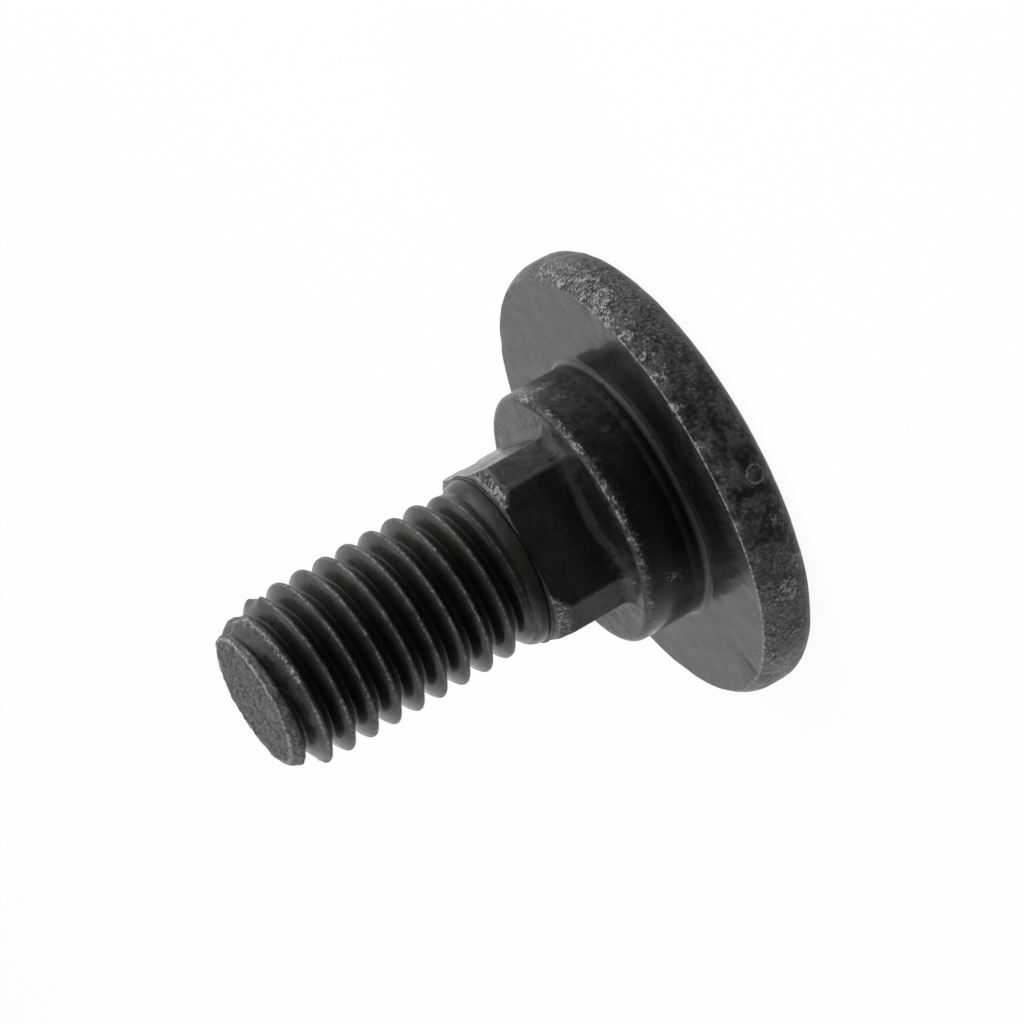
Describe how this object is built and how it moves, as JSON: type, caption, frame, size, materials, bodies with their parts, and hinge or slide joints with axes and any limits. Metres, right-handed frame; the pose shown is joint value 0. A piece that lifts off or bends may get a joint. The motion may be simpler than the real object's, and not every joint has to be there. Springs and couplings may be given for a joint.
{
  "type": "blade bolt",
  "caption": "Forged mower blade bolt: flat round head, bearing collar for the blade, square neck that locks it against turning, and a threaded shank for the nut.",
  "frame": {"origin": "centre of the head's resting face, on the bolt's axis", "axes": "+Z runs along the shank away from the head; the neck's four flats face +X, -X, +Y and -Y"},
  "size_m": [0.0317, 0.0316, 0.0332],
  "materials": {
    "black_steel": "black oxide on forged steel, satin, rubbed lighter on its edges"
  },
  "bodies": {
    "root": {"blade_bolt": "black_steel"}
  },
  "joints": []
}
